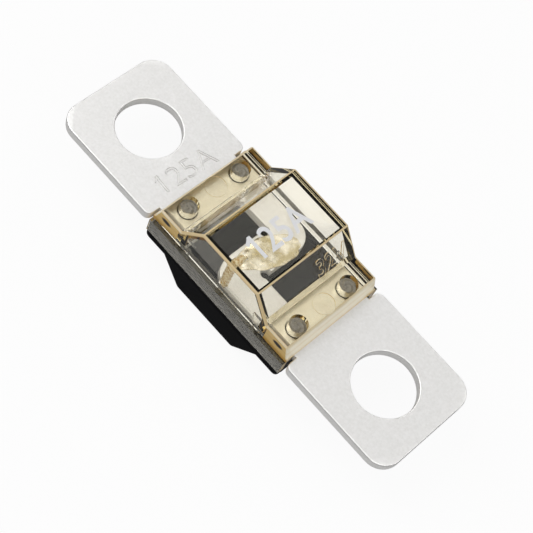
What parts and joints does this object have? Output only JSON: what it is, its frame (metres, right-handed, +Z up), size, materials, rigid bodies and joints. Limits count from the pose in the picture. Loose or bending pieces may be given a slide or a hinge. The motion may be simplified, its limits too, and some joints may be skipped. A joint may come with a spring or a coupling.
{
  "type": "bolt down strip fuse",
  "caption": "Bolt down strip fuse: a stamped flat strip with a bolt hole in each tab and an S-shaped fuse link, held between a black moulded base and a clear moulded cover.",
  "frame": {"origin": "midway between the two bolt holes, on the underside of the tabs", "axes": "+X along the strip from hole to hole, +Y across it, +Z up, to the clear cover's side"},
  "size_m": [0.041, 0.0116, 0.0098],
  "materials": {
    "strip_metal": "satin",
    "tin": "satin",
    "black_plastic": "satin",
    "clear_plastic": "gloss"
  },
  "bodies": {
    "root": {"fuse_strip": "strip_metal", "tin_drop": "tin", "base_housing": "black_plastic", "clear_cover": "clear_plastic"}
  },
  "joints": []
}
